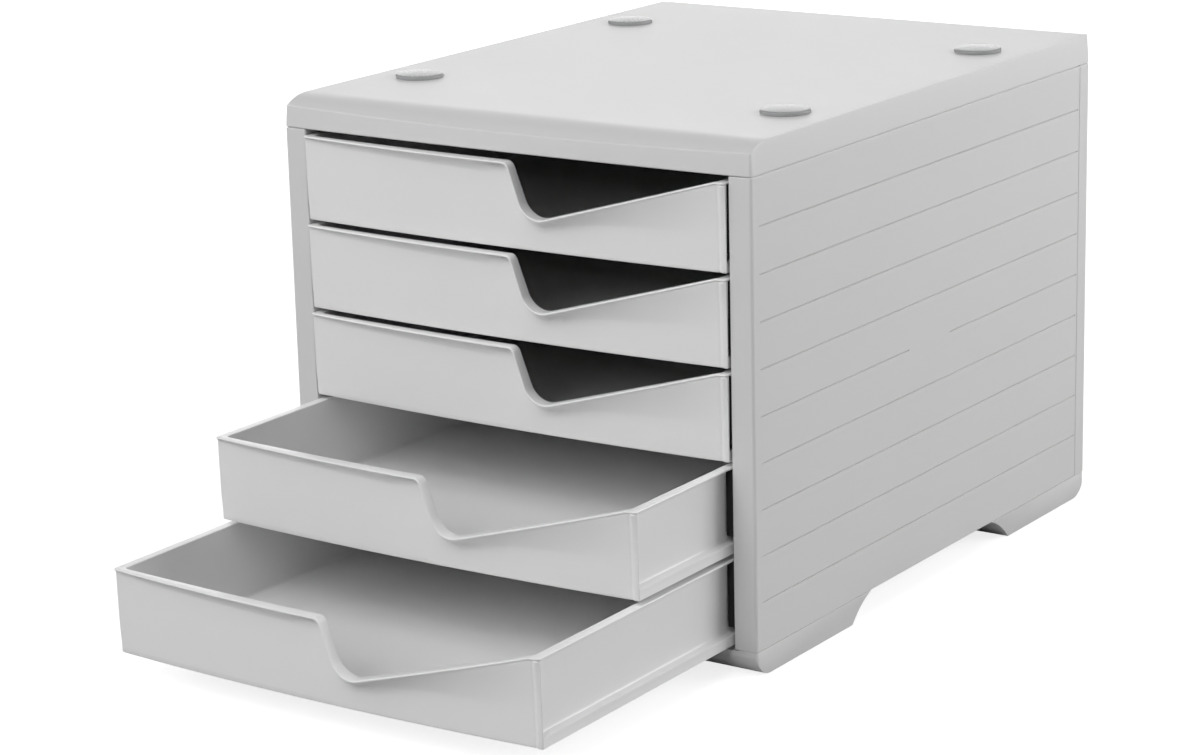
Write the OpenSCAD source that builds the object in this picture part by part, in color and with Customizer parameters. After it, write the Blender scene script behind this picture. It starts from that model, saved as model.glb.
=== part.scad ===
// Desk box with five sliding file trays.
// Millimetres. +Z is up and the trays open towards -Y.
// The origin lies on the desk, under the middle of the case.

/* [Case] */
// Width over the side panels
case_w = 268; // [240:1:330]
// Depth from the front posts to the back
case_d = 338; // [300:1:400]
// Height of the base, from the desk to its seam
foot_h = 13; // [11:0.5:20]
// Height of the cover above its seam
cover_h = 15.2; // [13:0.2:24]
// Width of each front post
post_w = 12.3; // [11:0.1:18]
// Depth of each front post
post_d = 10.5; // [8:0.5:20]
// Wall of the case mouldings
skin = 2.2; // [1.8:0.1:3]
// Radius of the upright corners
corner_r = 2.2; // [1:0.1:4]
// Radius of the two long lower edges of the base
base_edge_r = 12; // [4:0.5:12.5]
// How far the back wraps round onto each side
rear_wrap = 10.6; // [8:0.2:16]
// Gap along the upright rear seams
seam_gap = 0.2; // [0.1:0.05:0.5]

/* [Cover] */
// How far the cover's front bows out at its middle
cover_bow = 3; // [0.5:0.1:6]
// Drop of the front slope below the top
slope_drop = 4.9; // [3:0.1:8]
// Angle of the front slope
slope_angle = 27; // [15:1:45]
// Radius that blends the slope into the top
slope_blend_r = 24; // [6:1:30]
// Draft of the cover's sides, at the top edge
cover_draft = 0.8; // [0.2:0.1:1.5]
// Radius along the cover's side and rear top edges
cover_edge_r = 1.2; // [0.5:0.1:2]

/* [Drawers] */
// Height from one drawer to the next
drawer_pitch = 44.45; // [36:0.05:60]
// Open gap between one drawer's rim and the next drawer
drawer_gap = 2.45; // [2.3:0.05:4]
// Height of the lowest drawer above the base seam
sill_h = 1.7; // [1.4:0.1:4]
// Clearance between a drawer and the post on each side
side_clear = 0.7; // [0.4:0.05:1.5]
// Clearance between a closed drawer and the back
back_clear = 4.5; // [3.8:0.1:10]
// Wall of the tray
tray_wall = 1.8; // [1.4:0.1:3]
// Floor of the tray
tray_floor = 2; // [1.4:0.1:3]
// Radius between the tray's floor and its walls
tray_fillet = 6; // [2:0.5:10]
// Inset of the tray's side wall from its rim
wall_inset = 1.5; // [1:0.1:2.5]
// Lean of the tray's walls over their height
wall_draft = 1; // [0.2:0.1:1.5]
// Width of the rim
rim_w = 4.5; // [3.5:0.1:8]
// Thickness of the rim and the lip
rim_t = 1.4; // [1:0.1:2.5]
// Height of the ledge along the foot of each side wall
ledge_h = 5.2; // [3:0.1:8]

/* [Drawer fronts] */
// How far the drawer fronts bow out at their middle
front_bow = 4.5; // [0.5:0.1:8]
// Wall of the front
front_wall = 2; // [1.6:0.1:3]
// How far the lip stands out of the front
lip_out = 4.5; // [2:0.1:7]
// Radius of the lip's corners, seen from above
lip_corner_r = 3.5; // [1:0.1:3.8]
// Height of the cove under the level lip
lip_cove_h = 5.5; // [3:0.1:10]
// Height of the cove under the sloping lip
slope_cove_h = 13; // [6:0.5:16]
// Where the level lip ends, right of the middle
cut_x = 6; // [-40:0.1:30]
// Lean of the cut-out's steep flank from upright
cut_lean = 20; // [5:1:35]
// Slope of the cut-out's long edge
cut_slope = 15.8; // [10:0.1:17]
// Radius at the bottom of the cut-out
cut_r = 11.5; // [6:0.5:15]
// Radius where the lip turns down into the cut-out
lip_r = 4; // [2:0.5:8]
// Where the sloping edge meets the rim, from the drawer's right end
cut_end_inset = 5; // [4:0.5:20]

/* [Runners] */
// Thickness of the runner plates
plate_t = 1.8; // [1.4:0.1:3]
// Clearance between a drawer and what guides it
run_clear = 0.3; // [0.2:0.05:0.35]
// Width of each rail under a drawer's edge
rail_w = 6.5; // [4:0.5:12]
// Thickness of each rail
rail_t = 1.6; // [1:0.1:1.6]
// Height of the guide ribs above the drawer's ledge
guide_h = 2; // [1:0.1:2.5]
// Length of the pull-out stops along the case
stop_len = 4; // [2:0.5:8]
// Height of the pull-out stops
stop_h = 8; // [4:0.5:12]
// Height of the stops above the drawer's bottom
stop_z = 12; // [12:0.5:16]

/* [Motion] */
// Travel of a drawer from closed to its stop
travel = 215; // [180:1:240]
// How far the fourth drawer stands open
open_4 = 76; // [0:1:170]
// How far the fifth drawer stands open
open_5 = 152; // [0:1:170]

/* [Side grooves] */
// Height of a groove
groove_h = 2.6; // [1.5:0.1:4]
// Depth of a groove at its lower step
groove_depth = 0.9; // [0.4:0.1:1.2]
// Height of the lowest groove above the base seam
groove_start = 22.5; // [10:0.5:26]
// Distance from the front to where the grooves start
groove_front = 10; // [6:0.5:30]
// Distance from the rear seam to where the grooves end
groove_rear = 2; // [1:0.5:20]
// Where the plain gap in the middle groove starts, from the front
plain_from = 144; // [60:1:160]
// Where the plain gap in the middle groove ends, from the front
plain_to = 185; // [170:1:240]

/* [Base] */
// Length of each plinth along the desk
foot_len = 88; // [60:1:110]
// How much longer a plinth is at its top
foot_flare = 18; // [8:1:30]
// Radius of the curve at each end of the arch
arch_r = 45; // [30:1:80]
// Height of the side panels' lower edge above the base seam in the arch
arch_lift = 2.2; // [1:0.1:4]
// Width of the strip left free beside the floor in the arch
arch_inset = 9.6; // [5:0.1:9.8]
// How far the anti-slip feet lift the base off the desk
foot_lift = 0.5; // [0.3:0.1:1]
// Diameter of the anti-slip feet
grip_d = 16; // [10:1:20]
// Inset of the anti-slip feet from the sides
grip_side = 18; // [15:1:30]
// Inset of the anti-slip feet from the front and the back
grip_end = 30; // [24:1:36]

/* [Stacking] */
// Diameter of the stacking pads
pad_d = 24; // [16:0.5:26]
// Height of the stacking pads
pad_h = 2.6; // [1.5:0.1:4]
// Inset of the pads from the sides
pad_side = 27; // [24:0.5:50]
// Inset of the pads from the front and the back
pad_end = 74; // [70:0.5:74]
// Diameter of the pads' stems
stem_d = 8; // [5:0.5:10]
// Length of the pads' stems
stem_l = 5; // [3.5:0.1:7]
// Clearance round a stem in the cover, and round a pad in its socket
pad_clear = 0.3; // [0.1:0.05:0.6]

/* [Hidden] */

DRAWERS = 5;
GROOVES = 2 * DRAWERS - 1;
ROUND = 64;
BOW_ROUND = 720;
ARC_STEPS = 8;
OVER = 1;

half_w = case_w / 2;
half_d = case_d / 2;
front_y = -half_d;
seam_low = foot_h;
seam_high = foot_h + sill_h + DRAWERS * drawer_pitch + rail_t / 2 - run_clear;
top_z = seam_high + cover_h;
body_h = seam_high - seam_low;

// Drawer sizes, in the drawer's own frame: its bottom at z = 0, closed
drawer_h = drawer_pitch - drawer_gap;
drawer_half = half_w - post_w - side_clear;
wall_top = drawer_half - wall_inset;
wall_low = wall_top - wall_draft;
tray_back = half_d - skin - back_clear;
bow_r = (drawer_half * drawer_half + front_bow * front_bow) / (2 * front_bow);
bow_y = front_y - front_bow + bow_r;
cut_end_x = drawer_half - cut_end_inset;

// Runner places
plate_in = half_w - post_w + run_clear;
plate_out = plate_in + plate_t;
plate_y = front_y + post_d + run_clear;
stop_y = plate_y + stop_len;
guide_in = wall_top + 2 * run_clear;
floor_z = seam_low + sill_h - 2 * run_clear - rail_t;
plate_top = top_z - slope_drop - skin - run_clear;

// Rear seam and grooves
rear_seam_y = half_d - rear_wrap;
tongue_t = 1.6;

// Cover slope, measured back from its front edge and down from the top
blend_run = slope_blend_r * sin(slope_angle);
blend_drop = slope_blend_r * (1 - cos(slope_angle));
flat_drop = max(slope_drop - blend_drop, 0.2);
flat_run = flat_drop / tan(slope_angle);
cover_bow_r = (half_w * half_w + cover_bow * cover_bow) / (2 * cover_bow);
cover_bow_y = front_y - cover_bow + cover_bow_r;

pad_x = half_w - pad_side;
pad_y = half_d - pad_end;
grip_x = half_w - grip_side;
grip_y = half_d - grip_end;

shell_colour = [0.79, 0.79, 0.79];
tray_colour = [0.8, 0.8, 0.8];
dark_colour = [0.08, 0.08, 0.085];
pad_colour = [0.74, 0.75, 0.76];

// Heights of the drawers' bottoms, 1 at the top
function drawer_z(n) = seam_low + sill_h + (DRAWERS - n) * drawer_pitch;

// How far a drawer stands open
function drawer_open(n) = n == 5 ? open_5 : n == 4 ? open_4 : 0;

// Points of an arc
function arc(centre, r, from, to, steps = ARC_STEPS) =
    [for (i = [0 : steps]) let (a = from + (to - from) * i / steps) centre + r * [cos(a), sin(a)]];

// Points of the arc that rounds a corner p between headings a and b
function round_corner(p, a, b, r) =
    let (turn = b - a, side = turn > 0 ? 1 : -1)
    let (start = p - r * tan(abs(turn) / 2) * [cos(a), sin(a)])
    let (centre = start + side * r * [-sin(a), cos(a)])
    arc(centre, r, a - side * 90, b - side * 90);

// Outline of a rectangle with rounded corners
function round_rect(x0, y0, x1, y1, r) = concat(
    arc([x1 - r, y0 + r], r, -90, 0),
    arc([x1 - r, y1 - r], r, 0, 90),
    arc([x0 + r, y1 - r], r, 90, 180),
    arc([x0 + r, y0 + r], r, 180, 270));

// Top edge of a drawer's front from left to right: lip, cut-out and sloping edge
lip_corner = [cut_x, drawer_h];
slope_corner = [cut_end_x, drawer_h];
cut_run = (slope_corner[0] - lip_corner[0]) * tan(cut_slope) / (1 + tan(cut_slope) * tan(cut_lean));
cut_corner = lip_corner + cut_run * [tan(cut_lean), -1];
front_edge = concat(
    [[-drawer_half, drawer_h]],
    round_corner(lip_corner, 0, cut_lean - 90, lip_r),
    round_corner(cut_corner, cut_lean - 90, cut_slope, cut_r),
    round_corner(slope_corner, cut_slope, 0, lip_r),
    [[drawer_half, drawer_h]]);

// The same edge moved down by d, square to itself
function lowered(points, d) = let (last = len(points) - 1)
    [for (i = [0 : last])
        let (run = points[min(i + 1, last)] - points[max(i - 1, 0)])
        points[i] + d * [run[1], -run[0]] / norm(run)];

function backwards(points) = [for (i = [len(points) - 1 : -1 : 0]) points[i]];

// Stands a flat outline up in the XZ plane, from y0 to y1
module upright(y0, y1) {
    translate([0, y1, 0])
        rotate([90, 0, 0])
            linear_extrude(y1 - y0) children();
}

// Stands an outline given in Y and Z up across the width, from x0 to x1
module across(x0, x1) {
    translate([x0, 0, 0])
        rotate([90, 0, 90])
            linear_extrude(x1 - x0) children();
}

// ---- drawers ----

// Everything within t of the bowed face
module behind_bow(t, h) {
    translate([0, bow_y, -OVER])
        cylinder(r = bow_r + t, h = h, $fn = BOW_ROUND);
}

// The front's wall: its outline, bowed, with leaning ends
module front_panel() {
    intersection() {
        difference() {
            behind_bow(0, drawer_h + 2 * OVER);
            behind_bow(-front_wall, drawer_h + 2 * OVER);
        }
        upright(front_y - 2 * front_bow, front_y + 2 * front_bow)
            polygon(concat([[drawer_half - wall_draft, 0], [wall_draft - drawer_half, 0]],
                           front_edge));
    }
}

// The lip that follows the front's top edge
module front_lip() {
    intersection() {
        difference() {
            behind_bow(lip_out, drawer_h + 2 * OVER);
            behind_bow(-front_wall, drawer_h + 2 * OVER);
        }
        upright(front_y - 2 * front_bow - lip_out, front_y + 2 * front_bow)
            polygon(concat(front_edge, backwards(lowered(front_edge, rim_t))));
        // the bow keeps the middle clear of the corners' radius
        linear_extrude(drawer_h + OVER)
            union() {
                polygon(round_rect(-drawer_half, front_y - lip_out, drawer_half, tray_back, lip_corner_r));
                translate([2 * lip_corner_r - drawer_half, front_y - 2 * lip_out - front_bow])
                    square([2 * (drawer_half - 2 * lip_corner_r), 2 * lip_out + 2 * front_bow]);
            }
    }
}

// Section of a cove: out from the face and up to the lip's underside
function cove(out, h) = let (r = (out * out + h * h) / (2 * out), turn = asin(h / r))
    concat([[-front_wall / 2, h], [-front_wall / 2, 0]],
           [for (i = [0 : ARC_STEPS]) let (a = turn * i / ARC_STEPS) [r - r * cos(a), r * sin(a)]]);

// Cove under the level lip, turned about the bow's own centre
module lip_cove() {
    reach = drawer_half + cut_x - 3 * lip_r;
    sweep = 2 * asin(reach / 2 / bow_r);
    start = -90 - asin((drawer_half - 2 * lip_r) / bow_r);
    translate([0, bow_y, drawer_h - rim_t - lip_cove_h])
        rotate([0, 0, start])
            rotate_extrude(angle = sweep, $fn = BOW_ROUND)
                translate([bow_r, 0])
                    polygon(cove(lip_out - run_clear, lip_cove_h));
}

// Cove under the sloping lip, straight, along the chord of the bow
module slope_cove() {
    x0 = cut_corner[0] + 2 * cut_r;
    x1 = cut_end_x - lip_r;
    y0 = bow_y - sqrt(bow_r * bow_r - x0 * x0);
    y1 = bow_y - sqrt(bow_r * bow_r - x1 * x1);
    z0 = slope_corner[1] - (cut_end_x - x0) * tan(cut_slope) - rim_t;
    length = (x1 - x0) / cos(cut_slope);
    translate([x0, y0, z0])
        rotate([0, 0, atan((y1 - y0) / (x1 - x0))])
            rotate([0, -cut_slope, 0])
                rotate([90, 0, 90])
                    linear_extrude(length)
                        mirror([1, 0])
                            translate([0, -slope_cove_h])
                                polygon(cove(lip_out - run_clear, slope_cove_h));
}

// Outline of the tray across its width, between leaning walls
module tray_section(top, low, z0, z1, r) {
    polygon(concat(
        r > 0 ? arc([low - r, z0 + r], r, -90, 0) : [[low, z0]],
        [[top, z1], [-top, z1]],
        r > 0 ? arc([r - low, z0 + r], r, 180, 270) : [[-low, z0]]));
}

// Floor and walls, open at the top
module tray_box() {
    inner_top = wall_top - tray_wall;
    inner_low = wall_low - tray_wall;
    inner_back = tray_back - tray_wall;
    front_room = 2 * front_bow;
    difference() {
        intersection() {
            upright(front_y - front_room, tray_back)
                tray_section(wall_top, wall_low, 0, drawer_h, 0);
            behind_bow(-front_wall / 2, drawer_h + 2 * OVER);
        }
        intersection() {
            upright(front_y - front_room, inner_back)
                tray_section(inner_top, inner_low, tray_floor, drawer_h + OVER, tray_fillet);
            behind_bow(-front_wall, drawer_h + 2 * OVER);
            across(-half_w, half_w)
                polygon(concat(
                    [[front_y - front_room, drawer_h + OVER], [front_y - front_room, tray_floor]],
                    arc([inner_back - tray_fillet, tray_floor + tray_fillet], tray_fillet, -90, 0),
                    [[inner_back, drawer_h + OVER]]));
        }
        // the finger cut-out goes through the front only
        upright(front_y - front_room, front_y + front_wall)
            polygon(concat([[drawer_half, drawer_h + OVER], [-drawer_half, drawer_h + OVER]],
                           front_edge));
    }
}

// Flat rim along the sides and the back
module tray_rim() {
    rim_back = tray_back + wall_inset;
    translate([0, 0, drawer_h - rim_t])
        linear_extrude(rim_t)
            difference() {
                translate([-drawer_half, front_y + front_wall / 2])
                    square([2 * drawer_half, rim_back - front_y - front_wall / 2]);
                translate([rim_w - drawer_half, front_y])
                    square([2 * (drawer_half - rim_w), rim_back - rim_w - front_y]);
            }
}

// Ledge that rides on the rails, and the lug that meets the pull-out stop
module tray_slides() {
    lug_y = stop_y + travel + run_clear;
    lug_w = drawer_half - run_clear - wall_low + tray_wall / 2;
    for (side = [-1, 1]) {
        translate([side > 0 ? wall_low - tray_wall / 2 : -drawer_half, front_y + front_wall / 2, 0])
            cube([drawer_half - wall_low + tray_wall / 2, tray_back - front_y - front_wall, ledge_h]);
        translate([side > 0 ? wall_low - tray_wall / 2 : -drawer_half + run_clear, lug_y, stop_z])
            cube([lug_w, stop_len, stop_h]);
    }
}

module drawer(n) {
    color(tray_colour)
        translate([0, -drawer_open(n), drawer_z(n)]) {
            front_panel();
            front_lip();
            lip_cove();
            slope_cove();
            tray_box();
            tray_rim();
            tray_slides();
        }
}

// ---- case ----

// The cover's outer form: slope and bow in front, draft at the sides
module cover_form() {
    slope_back = front_y + flat_run + blend_run;
    blend_centre = [slope_back, top_z - slope_blend_r];
    rear_centre = [half_d - cover_edge_r, top_z - cover_edge_r];
    side_top = half_w - cover_draft;
    intersection() {
        // seen from the side; the slope runs on down to where the bow reaches
        across(-half_w, half_w)
            polygon(concat(
                [[half_d, seam_high]],
                arc(rear_centre, cover_edge_r, 0, 90),
                arc(blend_centre, slope_blend_r, 90, 90 + slope_angle),
                [[front_y - 2 * cover_bow,
                  top_z - blend_drop - flat_drop - 2 * cover_bow * tan(slope_angle)],
                 [front_y - 2 * cover_bow, seam_high]]));
        // seen from the front
        upright(front_y - 2 * cover_bow, half_d)
            polygon(concat(
                [[-half_w, seam_high], [half_w, seam_high]],
                arc([side_top - cover_edge_r, top_z - cover_edge_r], cover_edge_r, 0, 90),
                arc([cover_edge_r - side_top, top_z - cover_edge_r], cover_edge_r, 90, 180)));
        // seen from above
        translate([0, 0, seam_high])
            linear_extrude(cover_h)
                intersection() {
                    polygon(round_rect(-half_w, front_y - cover_bow, half_w, half_d, corner_r));
                    translate([0, cover_bow_y])
                        circle(r = cover_bow_r, $fn = BOW_ROUND);
                }
    }
}

module top_cover() {
    slope_back = front_y + flat_run + blend_run;
    color(shell_colour)
        difference() {
            cover_form();
            across(skin - half_w, half_w - skin)
                polygon([[half_d - skin, seam_high - OVER], [half_d - skin, top_z - skin],
                         [slope_back, top_z - skin],
                         [front_y + skin, top_z - slope_drop - skin],
                         [front_y + skin, seam_high - OVER]]);
            for (x = [-pad_x, pad_x], y = [-pad_y, pad_y])
                translate([x, y, top_z - skin - OVER])
                    cylinder(d = stem_d + 2 * pad_clear, h = skin + 2 * OVER, $fn = ROUND);
        }
}

// Outline of the right side panel from above: skin, post and rear tongue
module side_plan() {
    post_in = half_w - post_w;
    skin_in = half_w - skin;
    tongue_out = skin_in - seam_gap;
    tongue_in = tongue_out - tongue_t;
    seam_y = rear_seam_y - seam_gap;
    polygon(concat(
        arc([half_w - corner_r, front_y + corner_r], corner_r, -90, 0),
        [[half_w, seam_y], [tongue_out, seam_y], [tongue_out, rear_seam_y + rear_wrap / 2],
         [tongue_in, rear_seam_y + rear_wrap / 2], [tongue_in, seam_y - 2 * tongue_t],
         [skin_in, seam_y - 2 * tongue_t],
         [skin_in, front_y + skin], [post_in + skin, front_y + skin],
         [post_in + skin, front_y + post_d], [post_in, front_y + post_d]],
        arc([post_in + run_clear, front_y + run_clear], run_clear, 180, 270)));
}

// One groove: deepest at its lower step, running out upwards
module groove(z, from, to) {
    upright(from, to)
        polygon([[half_w + OVER, z], [half_w - groove_depth, z],
                 [half_w, z + groove_h], [half_w + OVER, z + groove_h]]);
}

module side_panel() {
    middle = floor(GROOVES / 2);
    groove_from = front_y + groove_front;
    groove_to = rear_seam_y - groove_rear;
    arch_half = half_d - foot_len - foot_flare;
    difference() {
        translate([0, 0, seam_low])
            linear_extrude(body_h) side_plan();
        for (i = [0 : GROOVES - 1]) {
            z = seam_low + groove_start + i * drawer_pitch / 2;
            if (i == middle) {
                groove(z, groove_from, front_y + plain_from);
                groove(z, front_y + plain_to, groove_to);
            } else {
                groove(z, groove_from, groove_to);
            }
        }
        translate([half_w - post_w, -arch_half, seam_low - OVER])
            cube([post_w + OVER, 2 * arch_half, arch_lift + OVER]);
    }
}

module right_side_panel() {
    color(shell_colour) side_panel();
}

module left_side_panel() {
    color(shell_colour)
        mirror([1, 0, 0]) side_panel();
}

// Back plate that wraps round both rear corners
module rear_panel() {
    inner = half_w - skin;
    color(shell_colour)
        translate([0, 0, seam_low])
            linear_extrude(body_h)
                polygon(concat(
                    [[half_w, rear_seam_y]],
                    arc([half_w - corner_r, half_d - corner_r], corner_r, 0, 90),
                    arc([corner_r - half_w, half_d - corner_r], corner_r, 90, 180),
                    [[-half_w, rear_seam_y], [-inner, rear_seam_y], [-inner, half_d - skin],
                     [inner, half_d - skin], [inner, rear_seam_y]]));
}

// Outline of the front plinth from the side, its walls moved in by d
module plinth_section(d) {
    edge_r = base_edge_r - d;
    toe = [front_y + foot_len, foot_lift];
    heel = [front_y + foot_len + foot_flare, seam_low];
    chord = heel - toe;
    lean = atan2(chord[1], chord[0]);
    spread = asin(norm(chord) / 2 / arch_r);
    centre = (toe + heel) / 2 + arch_r * cos(spread) * [sin(lean), -cos(lean)];
    polygon(concat(
        arc([front_y + base_edge_r, foot_lift + base_edge_r], edge_r, 180, 270),
        arc(centre, arch_r + d, lean + 90 + spread, lean + 90 - spread),
        [[front_y + d, seam_low]]));
}

// Shell of a plinth, open below
module plinth_shell() {
    difference() {
        intersection() {
            across(-half_w, half_w) plinth_section(0);
            linear_extrude(seam_low)
                polygon(round_rect(-half_w, front_y, half_w, half_d, corner_r));
        }
        intersection() {
            across(skin - half_w, half_w - skin) plinth_section(skin);
            translate([-half_w, front_y, -OVER])
                cube([case_w, case_d, floor_z - skin + OVER]);
        }
        translate([skin - half_w, front_y + base_edge_r, -OVER])
            cube([case_w - 2 * skin, foot_len - base_edge_r - skin, foot_lift + 2 * OVER]);
    }
}

// Tubes in a plinth: sockets for the pads of a box below, and seats for the feet
module plinth_tubes() {
    tube_h = floor_z - skin - foot_lift + OVER;
    for (x = [-pad_x, pad_x])
        translate([x, -pad_y, foot_lift])
            cylinder(d = pad_d + 2 * pad_clear + 2 * skin, h = tube_h, $fn = ROUND);
    for (x = [-grip_x, grip_x])
        translate([x, -grip_y, foot_lift])
            cylinder(d = grip_d + 2 * skin, h = tube_h, $fn = ROUND);
}

module plinth_bores() {
    bore_h = floor_z - skin - foot_lift + OVER;
    for (x = [-pad_x, pad_x])
        translate([x, -pad_y, foot_lift - OVER])
            cylinder(d = pad_d + 2 * pad_clear, h = bore_h, $fn = ROUND);
    for (x = [-grip_x, grip_x])
        translate([x, -grip_y, foot_lift - OVER])
            cylinder(d = grip_d + 2 * pad_clear, h = skin + OVER, $fn = ROUND);
}

// The front plinth, with the height above the floor left free from y0 on
module plinth(y0) {
    difference() {
        union() {
            plinth_shell();
            intersection() {
                plinth_tubes();
                across(-half_w, half_w) plinth_section(0);
            }
        }
        plinth_bores();
        translate([-plate_out, y0, floor_z])
            cube([2 * plate_out, case_d, foot_h]);
    }
}

module front_plinth() {
    color(shell_colour) plinth(front_y - OVER);
}

module rear_plinth() {
    color(shell_colour)
        mirror([0, 1, 0]) plinth(front_y + skin);
}

// Floor between the plinths, shaped to their ends
module base_floor() {
    floor_half = half_w - arch_inset;
    color(shell_colour)
        difference() {
            translate([-floor_half, front_y + foot_len, floor_z - skin])
                cube([2 * floor_half, case_d - 2 * foot_len, skin]);
            across(-half_w, half_w) plinth_section(0);
            mirror([0, 1, 0])
                across(-half_w, half_w) plinth_section(0);
        }
}

// Right plate with its rails, guide ribs and stops
module runner_plate() {
    plate_back = half_d - skin - run_clear;
    length = plate_back - plate_y;
    color(dark_colour) {
        translate([plate_in, plate_y, floor_z])
            cube([plate_t, length, plate_top - floor_z]);
        for (n = [1 : DRAWERS]) {
            z = drawer_z(n);
            translate([plate_in - rail_w, plate_y, z - run_clear - rail_t])
                cube([rail_w, length, rail_t]);
            translate([guide_in, plate_y, z + ledge_h + run_clear])
                cube([plate_in - guide_in, length, guide_h]);
            translate([guide_in, plate_y, z + stop_z])
                cube([plate_in - guide_in, stop_len, stop_h]);
        }
        // upright rib that the closed drawers stop against
        translate([plate_in - rail_w, tray_back + wall_inset + run_clear, floor_z])
            cube([rail_w, skin, seam_high - floor_z]);
    }
}

module right_runner_plate() {
    runner_plate();
}

module left_runner_plate() {
    mirror([1, 0, 0]) runner_plate();
}

// Round pad with a bevelled rim and a push-in stem
module stacking_pad(x, y) {
    bevel = pad_h / 3;
    color(pad_colour)
        translate([x, y, top_z])
            rotate_extrude($fn = ROUND)
                polygon([[0, -stem_l], [stem_d / 2, -stem_l], [stem_d / 2, 0], [pad_d / 2, 0],
                         [pad_d / 2, pad_h - bevel], [pad_d / 2 - bevel, pad_h], [0, pad_h]]);
}

// Soft disc let into the base
module anti_slip_foot(x, y) {
    color(dark_colour)
        translate([x, y, 0])
            cylinder(d = grip_d, h = foot_lift + skin, $fn = ROUND);
}

top_cover();
left_side_panel();
right_side_panel();
rear_panel();
front_plinth();
rear_plinth();
base_floor();
left_runner_plate();
right_runner_plate();
stacking_pad(-pad_x, -pad_y);  // stacking_pad_front_left
stacking_pad(pad_x, -pad_y);  // stacking_pad_front_right
stacking_pad(-pad_x, pad_y);  // stacking_pad_rear_left
stacking_pad(pad_x, pad_y);  // stacking_pad_rear_right
anti_slip_foot(-grip_x, -grip_y);  // anti_slip_foot_front_left
anti_slip_foot(grip_x, -grip_y);  // anti_slip_foot_front_right
anti_slip_foot(-grip_x, grip_y);  // anti_slip_foot_rear_left
anti_slip_foot(grip_x, grip_y);  // anti_slip_foot_rear_right
drawer(1);  // drawer_1
drawer(2);  // drawer_2
drawer(3);  // drawer_3
drawer(4);  // drawer_4
drawer(5);  // drawer_5
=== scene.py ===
"""Looks of a desk box with five sliding file trays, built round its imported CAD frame."""

import math

import bmesh
import bpy
import numpy as np
from bpy.props import FloatProperty, FloatVectorProperty, IntProperty, PointerProperty
from bpy.types import Operator, Panel, PropertyGroup
from mathutils import Matrix, Vector


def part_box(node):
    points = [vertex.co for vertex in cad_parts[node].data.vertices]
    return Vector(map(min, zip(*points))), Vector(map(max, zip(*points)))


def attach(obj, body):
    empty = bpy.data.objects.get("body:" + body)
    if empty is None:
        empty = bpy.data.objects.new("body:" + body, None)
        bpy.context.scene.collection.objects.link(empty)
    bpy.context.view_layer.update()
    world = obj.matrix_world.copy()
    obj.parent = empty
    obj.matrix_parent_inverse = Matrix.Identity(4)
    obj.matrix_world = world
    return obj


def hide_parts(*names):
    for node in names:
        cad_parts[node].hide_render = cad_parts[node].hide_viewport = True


bl_info = {
    "name": "Desk file drawer",
    "version": (1, 0, 0),
    "blender": (4, 5, 0),
    "location": "3D View > Sidebar > Desk file drawer",
    "description": "Builds a desk box with five sliding file trays",
    "category": "Add Mesh",
}

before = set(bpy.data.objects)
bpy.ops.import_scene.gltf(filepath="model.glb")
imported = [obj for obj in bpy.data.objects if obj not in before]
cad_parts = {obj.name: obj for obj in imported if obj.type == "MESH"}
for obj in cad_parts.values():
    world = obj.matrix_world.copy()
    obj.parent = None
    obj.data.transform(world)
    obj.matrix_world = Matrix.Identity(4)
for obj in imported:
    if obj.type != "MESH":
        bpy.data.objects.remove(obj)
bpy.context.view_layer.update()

MM = 0.001
COVER_LOW, COVER_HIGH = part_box("top_cover")
PANEL_LOW, PANEL_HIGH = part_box("right_side_panel")
REAR_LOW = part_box("rear_panel")[0]
CLOSED_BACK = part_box("drawer_1")[1].y
PAD_LOW, PAD_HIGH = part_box("stacking_pad_front_right")
FOOT_LOW, FOOT_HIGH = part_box("anti_slip_foot_front_right")

CASE_HALF = COVER_HIGH.x / MM
CASE_BACK = COVER_HIGH.y / MM
CASE_FRONT = -CASE_BACK
SEAM_LOW = PANEL_LOW.z / MM
SEAM_HIGH = COVER_LOW.z / MM
CASE_TOP = COVER_HIGH.z / MM
TRAYS = 5
# steps round each corner of the cover
COVER_TURN = 6
# the ends of a tray's front reach back to here, just ahead of the posts
WING_BACK = CASE_FRONT - 0.3
# the ramps of the side grooves stay crisp, the rounded corners smooth
SIDE_CREASE = 9.0
CREASE = 32.0
LAMP_DISTANCE = 2.6
LAMP_SIZE = 1.5
FLOOR_HALF = 12.0


def size(name, text, value, low=0.0, high=1.0):
    """A length in metres for the sidebar, from millimetres."""
    return FloatProperty(name=name, description=text, default=value * MM, min=low * MM,
                         max=high * MM, precision=5, unit="LENGTH")


def colour(name, text, value):
    """A colour for the sidebar."""
    return FloatVectorProperty(name=name, description=text, default=value, size=3,
                               min=0.0, max=1.0, subtype="COLOR")


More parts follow.
